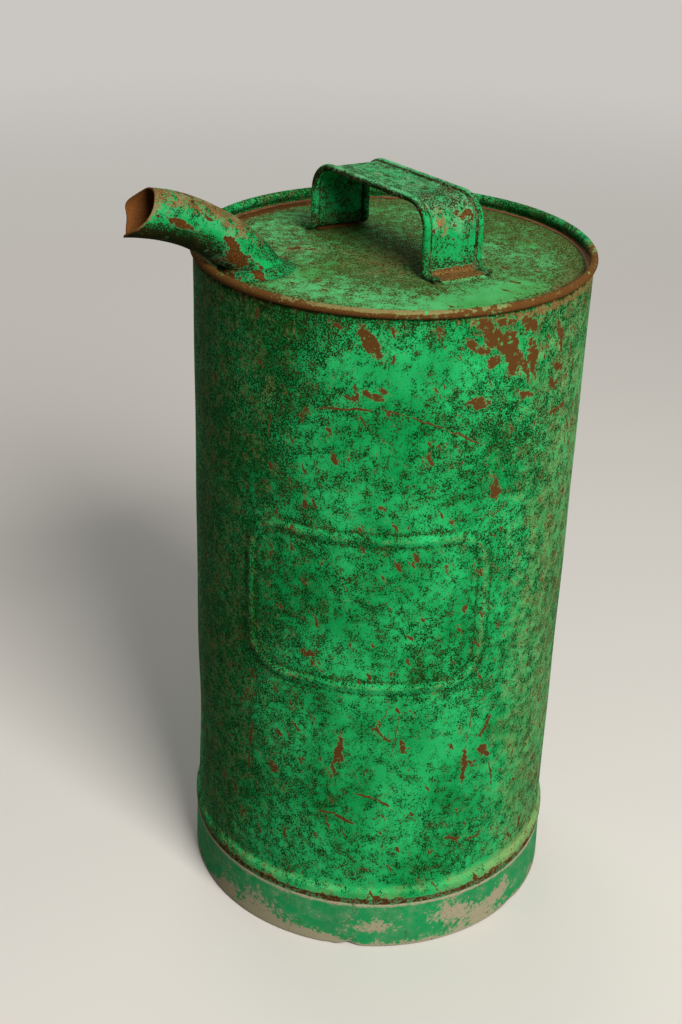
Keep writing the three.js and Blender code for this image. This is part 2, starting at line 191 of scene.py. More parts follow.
# Body: one sheet of steel rolled into a cylinder and closed by a lock seam at the back, flared over
# the foot band below and curled over a wire at the rim. Brushed with emerald paint, now pitted with
# rust. A plain raised frame is pressed into its front.
MILLIMETRE = 0.001
SHEET = 0.8
CLEARANCE = 0.3
WALL_MIDDLE = 118.6
FLARE_MIDDLE = 121.0
FLARE_BOTTOM = 39.3
FLARE_STRAIGHT = 43.3
FLARE_TOP = 47.3
NECK_START = 431.5
RIM_NECK = 5.0
RIM_WIRE = 2.8
RIM_CENTRE = 436.5
CURL_TURN = 250
SEAM_WIDTH = 7.0
SEAM_RISE = 1.4


def smooth(low, high, value):
    """0 below low and 1 above high, with a cubic S between them."""
    share = np.clip((value - low) / (high - low), 0, 1)
    return share * share * (3 - 2 * share)


def bump_of(value, centre, spread):
    """A bell of height 1 round a centre, e to the minus of the squared distance in spreads."""
    return np.exp(-((value - centre) / spread) ** 2)


def parallel(line, distance):
    """A line beside another: each point moves out along the right-hand normal, further at corners."""
    runs = np.diff(line, axis=0)
    runs = runs / np.linalg.norm(runs, axis=1, keepdims=True)
    arriving = np.vstack([runs[:1], runs])
    leaving = np.vstack([runs, runs[-1:]])
    tangent = arriving + leaving
    tangent = tangent / np.linalg.norm(tangent, axis=1, keepdims=True)
    normal = np.stack([tangent[:, 1], -tangent[:, 0]], axis=1)
    return line + distance * normal / np.sum(tangent * leaving, axis=1, keepdims=True)


def sheet_outline(middle):
    """The closed outline of a sheet: the line on its right side, then the line on its left, reversed."""
    return np.vstack([parallel(middle, SHEET / 2), parallel(middle, -SHEET / 2)[::-1]])


def arc(centre, radius, start, end, steps):
    """Points on a circle from one angle to another, in degrees."""
    angle = np.radians(np.linspace(start, end, steps))
    return np.array(centre) + radius * np.stack([np.cos(angle), np.sin(angle)], axis=1)


def wired_edge(neck, wire):
    """The middle of a sheet edge curled over a wire: a cosine S sideways, then most of a circle back."""
    radius = wire / 2 + CLEARANCE + SHEET / 2
    share = np.linspace(0, 1, 9)
    step = np.stack([neck * share, radius * (1 - np.cos(np.pi * share)) / 2], axis=1)
    return np.vstack([step, arc((neck, 0), radius, 90, 90 - CURL_TURN, 29)[1:]])


def turned(outline, angles):
    """Points (radius, height) of an outline carried round the can's axis through every angle."""
    radius, height = outline[:, :1], outline[:, 1:]
    level = np.zeros_like(angles)
    return np.stack([radius * np.cos(angles), radius * np.sin(angles), height + level], axis=-1)


def skin(name, grid, ends=None, **marks):
    """Joins the points of a grid of rows and columns in millimetres with four-sided faces.

    Columns close on themselves. Rows do so too without ends; with "strip" the first and last row are
    shut across the sheet's thickness, and with "pole" they shrink to one point. Marks are kept as
    attributes of the points.
    """
    rows, columns = grid.shape[:2]
    spans = rows if ends is None else rows - 1
    row = np.arange(spans)[:, None]
    column = np.arange(columns)[None, :]
    after = (column + 1) % columns
    above = (row + 1) % rows
    faces = np.stack([row * columns + column, row * columns + after,
                      above * columns + after, above * columns + column], axis=-1).reshape(-1, 4)
    if ends == "strip":
        half = columns // 2
        first = np.arange(half - 1)
        mirror = columns - 1 - first
        cap = np.stack([first, mirror, mirror - 1, first + 1], axis=1)
        faces = np.vstack([faces, cap, cap[:, ::-1] + (rows - 1) * columns])
    places = grid.reshape(-1, 3) * MILLIMETRE + [axis_x, 0, 0]
    mesh = bpy.data.meshes.new(name)
    mesh.from_pydata(places.tolist(), [], faces.tolist())
    for key, value in marks.items():
        layer = mesh.attributes.new(key, "FLOAT", "POINT")
        spread = np.broadcast_to(value, (rows, columns)).astype(np.float32)
        layer.data.foreach_set("value", spread.ravel())
    if ends == "pole":
        shaped = bmesh.new()
        shaped.from_mesh(mesh)
        bmesh.ops.remove_doubles(shaped, verts=shaped.verts, dist=1e-7)
        shaped.to_mesh(mesh)
        shaped.free()
    mesh.shade_smooth()
    mesh.set_sharp_from_angle(angle=np.radians(45))
    made = bpy.data.objects.new(name, mesh)
    scene.collection.objects.link(made)
    return made


def finished(made, material, slot, *nodes):
    """Gives a piece its material, rides it on the can and lets it stand for its CAD nodes."""
    made.data.materials.append(material)
    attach(made, "root")
    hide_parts(*nodes)
    return made


def noise(tree, place, size, detail, roughness=0.5, out="Fac"):
    """Adds a node of cloudy noise round 0.5, with lumps of about a size in metres."""
    return add(tree, "ShaderNodeTexNoise", {"Vector": place, "Scale": 1 / size, "Detail": detail,
                                            "Roughness": roughness}, out)


# Half width over which a stroke is a torn patch and no scratch.
WIDE_STROKE = 0.00175


def worn_paint(name, greens, chalk, film, pit, rusts, bare, strokes=(), unrolled=None, dull=0.55):
    """Old brushed enamel on steel. Two greens lie in soft patches, paler where the chalk mark is high,
    which is faded paint in places and a painted highlight in others. A film and stippled pits thicken
    with the grime mark, which is grime in places and painted shade in others; bare metal shows where rub
    is high, and flakes of two browns where rust is high or a stroke lies.

    A stroke is a centre, a turn about Z and half sizes, in metres, in Object coordinates or, with an
    unrolled radius, on the wall rolled out flat.
    """
    material = bpy.data.materials.new(name)
    tree = fresh_nodes(material)
    place = add(tree, "ShaderNodeTexCoord", out="Object")
    chalky, grime, rusty, rub = (add(tree, "ShaderNodeAttribute", {}, "Fac", attribute_name=mark)
                                 for mark in ("chalk", "grime", "rust", "rub"))
    colours = (*greens, chalk, film, pit, *rusts, bare)
    bright, deep, chalk, film, pit, dark_rust, light_rust, bare = (hex_colour(text) for text in colours)

    # Brushing and fading change the green over about 40 mm, and the chalk mark, faded paint and painted
    # highlight, breaks up over 9 mm.
    tone = ramp(tree, noise(tree, place, 0.04, 4), 0.38, 0.64)
    paint = blend(tree, tone, bright, deep)
    ragged = noise(tree, place, 0.009, 8, 0.72)
    pale = maths(tree, "MULTIPLY_ADD", ragged, 1.2, chalky)
    paint = blend(tree, ramp(tree, pale, 0.85, 1.4), paint, chalk)

    # Grime, and in places painted shade, gathers in clusters of about 7 mm within patches of 70 mm, each a
    # stipple of pits under a millimetre wide, brownish in some and nearly black in others, closest where the
    # mark is highest.
    cluster = noise(tree, place, 0.007, 7, 0.7)
    patch = noise(tree, place, 0.07, 2)
    patch = add(tree, "ShaderNodeMix", {0: 0.75, 2: patch, 3: cluster})
    dense = maths(tree, "MULTIPLY_ADD", grime, 0.45, patch)
    speck = noise(tree, place, 0.0009, 2, 0.6)
    haze = ramp(tree, dense, 0.56, 0.9)
    hold = ramp(tree, speck, 0.3, 0.6, 0.45)
    paint = blend(tree, maths(tree, "MULTIPLY", haze, hold), paint, film)
    stipple = ramp(tree, dense, 0.56, 0.72, 0, 0.2)
    caked = ramp(tree, dense, 0.92, 1.2, 0, 0.4)
    stipple = maths(tree, "ADD", stipple, caked)
    pitted = maths(tree, "ADD", stipple, speck)
    pitted = ramp(tree, pitted, 0.62, 0.7, 0, 0.95)
    browner = ramp(tree, ragged, 0.44, 0.62, 0, 0.35)
    paint = blend(tree, pitted, paint, blend(tree, browner, pit, dark_rust))

    # Rubbed metal and undercoat show with ragged edges, torn over 9 mm, frayed over 2.5 mm and 0.9 mm.
    crumbs = noise(tree, place, 0.0025, 3)
    frayed = maths(tree, "MULTIPLY", crumbs, 0.9)
    frayed = maths(tree, "MULTIPLY_ADD", speck, 0.45, frayed)
    frayed = maths(tree, "MULTIPLY_ADD", ragged, 1.15, frayed)
    open_metal = maths(tree, "ADD", frayed, rub)
    open_metal = ramp(tree, open_metal, 1.67, 1.81)
    paint = blend(tree, open_metal, paint, blend(tree, pitted, bare, light_rust))

    # Rust breaks through in flakes, along the strokes and wherever the rust mark is high. Wide strokes
    # are shaken out of shape by about 3 mm, and scratches by about 1 mm.
    shake = noise(tree, place, 0.008, 5, out="Color")
    shake = add(tree, "ShaderNodeVectorMath", {0: shake, 1: (0.5, 0.5, 0.5)}, operation="SUBTRACT")
    if unrolled:
        xyz = tree.nodes.new("ShaderNodeSeparateXYZ")
        tree.links.new(place, xyz.inputs[0])
        out_x = maths(tree, "SUBTRACT", xyz.outputs["X"], axis_x)
        angle = maths(tree, "ARCTAN2", xyz.outputs["Y"], out_x)
        rolled = maths(tree, "MULTIPLY", angle, unrolled)
        place = add(tree, "ShaderNodeCombineXYZ", {"X": rolled, "Y": xyz.outputs["Z"]})
    torn, scratched = (add(tree, "ShaderNodeVectorMath", {0: shake, 1: (far, far, 0), 2: place},
                           operation="MULTIPLY_ADD") for far in (0.011, 0.004))
    # Flecks of 2 by 6 mm lie scattered, fewer where the rust mark is low.
    fleck = add(tree, "ShaderNodeMapping", {"Vector": place, "Rotation": (0.2, 0.2, 0.5), "Scale": (1, 3, 1)},
                vector_type="TEXTURE")
    fleck = ramp(tree, noise(tree, fleck, 0.005, 3), 0.57, 0.7, 0, 0.8)
    spared = ramp(tree, rusty, 0, 0.25, 0.2)
    fleck = maths(tree, "MULTIPLY", fleck, spared)
    # Each stroke waits for the one before it, so that a long list takes no more room than a short one.
    struck = maths(tree, "MAXIMUM", rusty, fleck)
    for centre, turn, half in strokes:
        wide = half[1] > WIDE_STROKE
        waited = add(tree, "ShaderNodeVectorMath", {0: struck, 1: (0, 0, 0), 2: torn if wide else scratched},
                     operation="MULTIPLY_ADD")
        inside = add(tree, "ShaderNodeMapping", {"Vector": waited, "Location": centre,
                                                 "Rotation": (0, 0, turn), "Scale": half},
                     vector_type="TEXTURE")
        inside = add(tree, "ShaderNodeVectorMath", {0: inside}, "Value", operation="LENGTH")
        inside = ramp(tree, inside, 2.1 if wide else 1.25, 0.75, 0, 0.8)
        struck = maths(tree, "MAXIMUM", struck, inside)
    lifted = maths(tree, "ADD", frayed, struck)
    flaked = ramp(tree, lifted, 1.81, 1.92)
    # The paint's broken edge is pale. Old rust is dark, and rust is lighter where its mark is high.
    broken = ramp(tree, lifted, 1.74, 1.82, 0, 0.4)
    paint = blend(tree, broken, paint, chalk)
    browns = maths(tree, "MULTIPLY_ADD", rusty, 0.25, speck)
    browns = blend(tree, ramp(tree, browns, 0.66, 0.95), dark_rust, light_rust)
    paint = blend(tree, flaked, paint, browns)

    # Paint stands about 0.1 mm over the pits, and rust is duller than paint.
    eaten = maths(tree, "MAXIMUM", pitted, flaked)
    sheen = ramp(tree, eaten, 0, 1, dull, 0.9)
    depth = maths(tree, "MULTIPLY_ADD", pitted, -0.6, ragged)
    relief = add(tree, "ShaderNodeBump", {"Height": depth, "Strength": 0.5, "Distance": 0.0003})
    steel = add(tree, "ShaderNodeBsdfPrincipled", {"Base Color": paint, "Roughness": sheen, "IOR": 1.5,
                                                   "Specular IOR Level": 0.05, "Normal": relief})
    add(tree, "ShaderNodeOutputMaterial", {"Surface": steel})
    return material


# Strokes on the wall: angle and height of both ends in degrees and millimetres, and half width.
WALL_STROKES = np.array([
    (54.5, 427, 59.2, 415, 2.4), (63.2, 409, 64.2, 414, 1.0), (87.5, 429, 90.7, 420, 4.4),
    (94.6, 419, 98.4, 405, 4.8), (90.3, 405, 92.1, 408, 3.2), (83.5, 418, 87.1, 415, 3.2),
    (100.4, 428, 104.2, 421, 2.8), (92.7, 429, 95.7, 428, 2.4), (101.7, 399, 103, 391, 1.9),
    (101.7, 384, 104.3, 380, 2.6), (115.3, 417, 117.2, 400, 2.1), (113.2, 395, 116.7, 391, 2.4),
    (123.2, 403, 124, 393, 1.6), (115.7, 363, 120.7, 366, 1.9), (85.6, 383, 89.8, 383, 2.6),
    (56.4, 390, 60.1, 388, 1.8), (50.6, 388, 52.7, 387, 1.0), (47.9, 428, 49, 427, 1.6),
    (94.4, 331, 95.9, 322, 2.1), (29.2, 338, 30, 331, 1.6), (24.4, 428, 24.5, 422, 1.4),
    (42.5, 378, 60.3, 382, 0.8), (60.3, 382, 68.1, 378, 0.5), (68.1, 378, 78.5, 369, 0.6),
    (78.5, 369, 88.8, 358, 0.7), (55.4, 377, 57.3, 369, 0.6), (29, 369, 28.5, 352, 0.7),
    (53.1, 159, 51, 136, 2.7), (23.4, 157, 21.5, 111, 0.9), (30.6, 130, 31.8, 126, 2.9),
    (47.5, 104, 51.9, 104, 1.0), (51.9, 104, 57.8, 97, 1.5), (57.9, 121, 64.9, 118, 0.9),
    (64.9, 118, 70.6, 107, 0.9), (93.1, 182, 91.9, 148, 0.6), (91.8, 144, 91.2, 124, 1.8),
    (100.2, 169, 97, 154, 1.5), (97.4, 146, 99.9, 138, 2.1), (101, 132, 103.7, 107, 0.9),
    (88.5, 81, 91.4, 79, 1.9), (94.9, 75, 100.4, 76, 0.9), (60.8, 62, 64.1, 61, 0.8),
    (67.2, 189, 63.3, 163, 0.4), (70.2, 184, 68.5, 150, 0.4), (40.4, 220, 43.3, 219, 1.8),
    (90.5, 424, 95, 412, 4.4), (96, 421, 97.5, 402, 4.4), (103.5, 412, 105, 396, 3.2),
])
WALL_RADIUS = WALL_MIDDLE + SHEET / 2


def wall_strokes(rows):
    """Centre, turn and half sizes, in metres on the rolled-out wall, of strokes given by their ends."""
    start = np.stack([np.radians(rows[:, 0]) * WALL_RADIUS, rows[:, 1]], axis=1) * MILLIMETRE
    end = np.stack([np.radians(rows[:, 2]) * WALL_RADIUS, rows[:, 3]], axis=1) * MILLIMETRE
    run = end - start
    turn = np.arctan2(run[:, 1], run[:, 0])
    wide = rows[:, 4] * MILLIMETRE
    long = np.hypot(*run.T) / 2 + wide
    centre = (start + end) / 2
    return [((*c, 0), t, (a, b, 1)) for c, t, a, b in zip(centre.tolist(), turn, long, wide)]


flare = np.linspace(0, 1, 7)
flare = np.stack([FLARE_MIDDLE + (WALL_MIDDLE - FLARE_MIDDLE) * (1 - np.cos(np.pi * flare)) / 2,
                  FLARE_STRAIGHT + (FLARE_TOP - FLARE_STRAIGHT) * flare], axis=1)
rim = wired_edge(RIM_NECK, RIM_WIRE)
rim = np.stack([WALL_MIDDLE - rim[:, 1], NECK_START + rim[:, 0]], axis=1)


def body_middle(heights):
    """The middle of the body's sheet from the flare's edge up, through wall heights, to the curl's end."""
    wall = np.stack([np.full_like(heights, WALL_MIDDLE), heights], axis=1)
    return np.vstack([[[FLARE_MIDDLE, FLARE_BOTTOM]], flare, wall, rim])


# The wall is meshed finer where the frame is pressed.
wall_levels = np.r_[np.linspace(50, 188, 47), np.linspace(190, 310, 68), np.linspace(313, 430, 40)]
outside = parallel(body_middle(wall_levels), SHEET / 2)
inside = parallel(body_middle(np.linspace(60, 425, 20)), -SHEET / 2)[::-1]
body_outline = np.vstack([outside, inside])
body_angles = np.radians(np.r_[np.linspace(-180, -177.5, 6), np.linspace(-176, -22, 85),
                               np.linspace(-20, 146, 223), np.linspace(148, 176, 16),
                               np.linspace(177.5, 180, 6)[:-1]])
body_grid = turned(body_outline, body_angles)
azimuth = np.degrees(body_angles)[None, :]
height = body_outline[:, 1:]
on_outside = (np.arange(len(body_outline)) < len(outside))[:, None]
on_wall = smooth(50, 75, height) * (1 - smooth(395, 428, height))

# Dents from years of carrying: angle, height, half width, half height and depth, in mm and degrees.
dents = np.zeros_like(azimuth + height)
for turn, at, wide, tall, deep in (
    (27, 385, 9, 34, 0.9), (62, 366, 17, 15, 0.8), (101, 300, 10, 60, 0.7), (14, 215, 9, 60, 0.9),
    (72, 120, 16, 40, 0.6), (128, 160, 14, 50, 0.8), (-60, 300, 18, 60, 1.4), (-120, 180, 20, 45, 1.6),
    (165, 330, 15, 45, 1.2), (-20, 110, 16, 40, 1.2), (-150, 350, 12, 25, 1.1),
):
    dents -= deep * bump_of(azimuth, turn, wide) * bump_of(height, at, tall)
dents += 0.25 * np.sin(np.radians(3 * azimuth) + height / 37) * np.sin(height / 29)

# The pressed frame is a rounded oblong on the rolled-out wall, a soft ridge.
FRAME_CENTRE = (58, 250)
FRAME_HALF = (74, 50)
FRAME_CORNER = 22
FRAME_RIDGE = 3.6
FRAME_RISE = 1.4
across = np.abs(np.radians(azimuth - FRAME_CENTRE[0]) * WALL_RADIUS) - FRAME_HALF[0] + FRAME_CORNER
upright = np.abs(height - FRAME_CENTRE[1]) - FRAME_HALF[1] + FRAME_CORNER
beyond = np.hypot(np.maximum(across, 0), np.maximum(upright, 0))
frame_gap = np.abs(beyond + np.minimum(np.maximum(across, upright), 0) - FRAME_CORNER)
frame_ridge = 1 - smooth(0, FRAME_RIDGE, frame_gap)

seam_gap = np.radians(180 - np.abs(azimuth)) * WALL_RADIUS
seam_ridge = 1 - smooth(SEAM_WIDTH / 2 - SEAM_RISE / 2, SEAM_WIDTH / 2, seam_gap)
seam_ridge = seam_ridge * smooth(FLARE_TOP, FLARE_TOP + 2, height)
seam_ridge = seam_ridge * (1 - smooth(NECK_START - 2, NECK_START, height))
swell = dents * on_wall + on_outside * (FRAME_RISE * frame_ridge + SEAM_RISE * seam_ridge)
body_grid[..., 0] += swell * np.cos(body_angles)
body_grid[..., 1] += swell * np.sin(body_angles)

# Where the wall is worn: rust and bare metal on the rim's bead, whose top is lighter, in part a painted
# highlight. Grime on the left side, partly painted shade, darker on the upper left, more pits beside the
# frame's ridge, and a painted shadow line in the neck under the bead. Chalk on the right side, partly a
# painted sheen, and painted highlights on the frame's ridge and the flare.
on_bead = smooth(433.7, 434.6, height)
# The bead's upper half gets less rust and grime, so it shows lighter: worn metal in part and a painted
# highlight in part.
bead_top_wear_and_highlight = smooth(437.2, 438.4, height)
olive_bead = bump_of(azimuth, 58, 17)
front = 1 - smooth(75, 115, np.abs(azimuth - 65))
flared = 1 - smooth(47, 53, height)
# left_shade lays grime and a little rust on the left side; the grime is partly dirt and partly painted shade.
left_shade = bump_of(azimuth, 6, 28)
right_side = bump_of(azimuth, 128, 24)
upper_left = bump_of(azimuth, 33, 16) * smooth(310, 410, height)
under_rim = smooth(405, 431, height)
body_grime = 0.25 + 0.42 * left_shade + 0.2 * upper_left + 0.1 * right_side + 0.2 * under_rim
# A painted shadow: a dark band of stipple in the neck just under the rim's bead.
body_grime += 0.5 * bump_of(height, 433, 1.2)
body_grime += 0.06 * bump_of(height, 220, 60) - 0.16 * flared - 0.3 * bead_top_wear_and_highlight * front
body_grime += 0.16 * bump_of(azimuth, 95, 22) * bump_of(height, 385, 45)
body_grime += 0.4 * (frame_gap > FRAME_RIDGE) * bump_of(frame_gap, FRAME_RIDGE, 1.6)
body_rust = 0.28 + 0.2 * right_side + 0.16 * left_shade + 0.14 * seam_ridge
body_rust += 0.5 * on_bead * front * (1 - 0.7 * olive_bead * bead_top_wear_and_highlight)
body_rust += 0.35 * (1 - smooth(39.6, 41, height)) - 0.3 * bead_top_wear_and_highlight * (0.35 + 0.65 * olive_bead)
body_rub = 0.1 + 0.6 * on_bead * front + 0.15 * bump_of(height, 45, 3)
body_rub += 0.15 * under_rim * (1 - on_bead) * smooth(30, 75, azimuth) + 0.14 * right_side
body_rub += 0.34 * bump_of(height, 430.5, 2.6) * smooth(72, 92, azimuth)
body_rub += 0.2 * bump_of(azimuth, 30, 12) * smooth(405, 427, height)
# Paler paint: on the right side partly faded paint and partly a painted sheen; on the flare, with less grime,
# a painted highlight.
body_chalk = 0.5 * smooth(82, 122, azimuth) * (1 - smooth(135, 172, azimuth)) + 0.35 * flared
# A painted highlight on the frame's ridge; the bead at the back is paler too.
body_chalk += 0.4 * frame_ridge + 0.3 * on_bead * (1 - front)
body_chalk += 0.8 * bump_of(azimuth, 28, 3) * bump_of(height, 380, 9)

green_enamel = worn_paint("emerald_enamel_on_steel", ("#2ab867", "#0e924a"), "#7ca664", "#0a4e12", "#0c2a06",
                          ("#5a3a1a", "#6d4c26"), "#7f7446", wall_strokes(WALL_STROKES),
                          WALL_RADIUS * MILLIMETRE)
body_shell = skin("can_body", body_grid, grime=body_grime, rust=body_rust, rub=body_rub, chalk=body_chalk)
finished(body_shell, green_enamel, "green_paint", "body_shell")

# Rim wire: a plain drawn steel wire inside the body's curl, which stiffens the edge. It only shows
# at the slit under the curl, dark with rust.
WIRE_SIDES = 20
TURN_STEPS = 288


def rusty_metal(name, dark, light, grain, metallic, roughness):
    """Bare metal gone dull: two browns in grains of a given size, with a fine pitted relief."""
    material = bpy.data.materials.new(name)
    tree = fresh_nodes(material)
    place = add(tree, "ShaderNodeTexCoord", out="Object")
    grains = noise(tree, place, grain, 8, 0.7)
    browns = blend(tree, ramp(tree, grains, 0.35, 0.65), hex_colour(dark), hex_colour(light))
    dull = ramp(tree, grains, 0, 1, roughness - 0.15, roughness + 0.15)
    relief = add(tree, "ShaderNodeBump", {"Height": grains, "Strength": 0.5, "Distance": 0.0004})
    metal = add(tree, "ShaderNodeBsdfPrincipled", {"Base Color": browns, "Roughness": dull,
                                                   "Metallic": metallic, "Normal": relief})
    add(tree, "ShaderNodeOutputMaterial", {"Surface": metal})
    return material


def wire_ring(centre, wire):
    """Points round the section of a wire, anticlockwise."""
    return arc(centre, wire / 2, 0, 360, WIRE_SIDES + 1)[:-1]


whole_turn = np.linspace(-np.pi, np.pi, TURN_STEPS + 1)[:-1]
drawn_wire = rusty_metal("rusty_drawn_wire", "#3a2417", "#6d4a33", 0.004, 0.4, 0.75)
rim_wire = skin("rim_wire_ring", turned(wire_ring((WALL_MIDDLE, RIM_CENTRE), RIM_WIRE), whole_turn))
finished(rim_wire, drawn_wire, "steel_wire", "rim_wire")

# Foot band: a strip of sheet rolled into a ring, its spigot soldered inside the body's flare and its
# lower edge hemmed inwards. It takes the knocks, so its paint is scuffed to grey metal along the foot.
BAND_HEIGHT = 34.3
SPIGOT_MIDDLE = 119.9
BAND_SHOULDER = 0.5
BAND_SPREAD = 0.7
BAND_HEM = 6.0


def skirt_middle(level):
    """Middle radius of the skirt, which spreads evenly from the shoulder to the floor."""
    return SPIGOT_MIDDLE + BAND_SHOULDER + BAND_SPREAD * (1 - level / BAND_HEIGHT)


def eased(line, radius, steps=5):
    """Rounds the inner corners of a line: each becomes a quadratic curve a radius away on both sides."""
    runs = np.diff(line, axis=0)
    runs = runs / np.linalg.norm(runs, axis=1, keepdims=True)
    share = np.linspace(0, 1, steps)[None, :, None]
    corner = line[1:-1, None]
    before = corner - radius * runs[:-1, None]
    after = corner + radius * runs[1:, None]
    curve = (1 - share) ** 2 * before + 2 * share * (1 - share) * corner + share ** 2 * after
    return np.vstack([line[:1], curve.reshape(-1, 2), line[-1:]])


def closer(line, gap):
    """Adds points along a line, so that none stand further apart than a gap."""
    lengths = np.r_[0, np.cumsum(np.linalg.norm(np.diff(line, axis=0), axis=1))]
    extra = np.linspace(0, lengths[-1], int(lengths[-1] / gap) + 1)
    along = np.union1d(np.round(lengths, 6), np.round(extra, 6))
    keep = np.r_[True, np.diff(along) > 0.02]
    return np.stack([np.interp(along[keep], lengths, line[:, i]) for i in (0, 1)], axis=1)


foot_middle = skirt_middle(0)
hem_middle = foot_middle - SHEET - CLEARANCE
band_line = eased(np.array([
    (hem_middle, BAND_HEM),
    (hem_middle, SHEET / 2),
    (foot_middle, SHEET / 2),
    (skirt_middle(BAND_HEIGHT), BAND_HEIGHT - SHEET / 2),
    (SPIGOT_MIDDLE, BAND_HEIGHT + SHEET / 2),
    (SPIGOT_MIDDLE, FLARE_STRAIGHT - CLEARANCE),
]), 0.45)
band_outline = sheet_outline(closer(band_line, 1.6))
band_grid = turned(band_outline, whole_turn)
azimuth = np.degrees(whole_turn)[None, :]
height = band_outline[:, 1:]

# A knock has pushed the foot up and in a little at one place, and smaller ones round the ring.
knock = 2.2 * bump_of(azimuth, 58, 2.2) + 0.5 * bump_of(azimuth, 52, 1.5) + 0.7 * bump_of(azimuth, 117, 3)
knock += 0.9 * bump_of(azimuth, -40, 4) + 0.8 * bump_of(azimuth, -140, 3)
low_down = 1 - smooth(0, 9, height)
pushed = -0.5 * knock * low_down
band_grid[..., 0] += pushed * np.cos(whole_turn)
band_grid[..., 1] += pushed * np.sin(whole_turn)
band_grid[..., 2] += knock * low_down

# Scuffed patches: angle, height, half width and half height in degrees and millimetres.
band_rub = 0.2 + 0.3 * (1 - smooth(0, 10, height)) + 0.45 * (1 - smooth(0.3, 2, height))
for turn, at, wide, tall in ((27, 9, 9, 12), (12, 6, 6, 8), (45, 4, 9, 6), (64.5, 17, 7, 6), (90, 20, 8, 9),
                             (100, 11, 9, 9), (111, 17, 5, 9), (-35, 12, 14, 9), (-80, 8, 16, 8),
                             (-140, 14, 18, 8), (150, 9, 14, 9)):
    band_rub = band_rub + 0.48 * bump_of(azimuth, turn, wide) * bump_of(height, at, tall)
band_lip = bump_of(height, 33.6, 0.9)
band_grime = 0.02 + 0.5 * smooth(34.1, 34.6, height)
band_rust = 0.05 + 0.6 * smooth(34.2, 34.7, height)
scuffed_enamel = worn_paint("scuffed_enamel_on_steel", ("#1f9a58", "#2c8f55"), "#7fa37a", "#4f6a3f",
                            "#3f3f22", ("#4a3018", "#6b4a2a"), "#a8a285", dull=0.65)
base_band = skin("foot_band", band_grid, grime=band_grime, rust=band_rust, rub=band_rub + 0.5 * band_lip,
                 chalk=0.3 + 0.5 * band_lip)
finished(base_band, scuffed_enamel, "worn_green_paint", "base_band")

# Bottom: a shallow pan pressed from sheet, dished upwards, its flange soldered inside the foot band.
# It is out of sight, painted once and now mostly brown.
BOTTOM_LEVEL = 16.4
BOTTOM_DISH = 2.0
BOTTOM_FLANGE_TOP = 28.0
PANEL_CORNER = 3.0
bottom_rim = skirt_middle(BOTTOM_LEVEL) - SHEET - CLEARANCE
dish_edge = bottom_rim - PANEL_CORNER
dish_radius = np.linspace(0, dish_edge, 40)
dish = np.stack([dish_radius, BOTTOM_LEVEL + BOTTOM_DISH * (1 - (dish_radius / dish_edge) ** 2)], axis=1)
dish_corner = arc((dish_edge, BOTTOM_LEVEL + PANEL_CORNER), PANEL_CORNER, -90, 0, 9)[1:]
flange_end = [[skirt_middle(BOTTOM_FLANGE_TOP) - SHEET - CLEARANCE, BOTTOM_FLANGE_TOP]]
bottom_outline = sheet_outline(np.vstack([dish, dish_corner, flange_end]))
# Both faces of the pan meet the axis.
bottom_outline[[0, -1], 0] = 0
bottom_grid = turned(bottom_outline, whole_turn)
bottom_grid[..., 2] -= 0.3 * bump_of(bottom_outline[:, :1], 60, 30) * (1 + np.sin(3 * whole_turn))
bottom_enamel = worn_paint("rusted_enamel_on_steel", ("#2f6f45", "#3c5f3a"), "#6a7a58", "#4a4a22", "#33240f",
                           ("#452a15", "#6b4526"), "#6f5540", dull=0.7)
bottom_panel = skin("bottom_pan", bottom_grid, "pole", grime=0.6, rust=0.5, rub=0.3)
finished(bottom_panel, bottom_enamel, "green_paint", "bottom_panel")

# Top: a crowned disc of sheet set a little below the rim, its flange turned down inside the wall and
# soldered. It is pierced for the spout. Rain stood here, so olive film and rust lie round the handle.
TOP_EDGE = 431.0
TOP_CROWN = 2.7
TOP_FLAT = 114.5
TOP_FLANGE = 12.0
PANEL_RADIUS = 117.9
SPOUT_RADIUS = 15.0
BEND_CENTRE = (171.27, 371.45)
SPOUT_BEND = 102.0
foot_lean = np.arccos((TOP_EDGE - BEND_CENTRE[1]) / SPOUT_BEND)
spout_foot = BEND_CENTRE[0] - SPOUT_BEND * np.sin(foot_lean)


def top_face(radius):
    """Height of the top's upper face, a parabola that falls from the middle to the edge."""
    return TOP_EDGE + TOP_CROWN * (1 - (radius / TOP_FLAT) ** 2)


corner_centre = (TOP_FLAT, TOP_EDGE - SHEET / 2 - PANEL_CORNER)
top_corner = arc(corner_centre, PANEL_CORNER, 90, 0, 9)[1:]
crown_share = np.linspace(0, 1, 110)
crown = np.stack([TOP_FLAT * crown_share, top_face(TOP_FLAT * crown_share) - SHEET / 2], axis=1)
flange = [[PANEL_RADIUS - SHEET / 2, TOP_EDGE - TOP_FLANGE]]
top_middle = np.vstack([crown, top_corner, flange])
top_outline = sheet_outline(top_middle)
top_grid = turned(top_outline, whole_turn)

# Each ring of the crown lies between the spout's hole and the edge, as far out as its share says.
hole_reach = (SPOUT_RADIUS + CLEARANCE) / np.sin(foot_lean)
hole = np.stack([spout_foot + hole_reach * np.cos(whole_turn),
                 (SPOUT_RADIUS + CLEARANCE) * np.sin(whole_turn)], axis=-1)
share = np.minimum(top_outline[:, :1] / TOP_FLAT, 1)[..., None]
edge = np.stack([np.cos(whole_turn), np.sin(whole_turn)], axis=-1) * TOP_FLAT
on_crown = share < 1
top_grid[..., :2] = np.where(on_crown, hole * (1 - share) + edge * share, top_grid[..., :2])
reach = np.hypot(top_grid[..., 0], top_grid[..., 1])
above = (np.arange(len(top_outline)) >= len(top_middle))[:, None]
level = top_face(reach) - SHEET * (~above)
top_x, top_y = top_grid[..., 0], top_grid[..., 1]
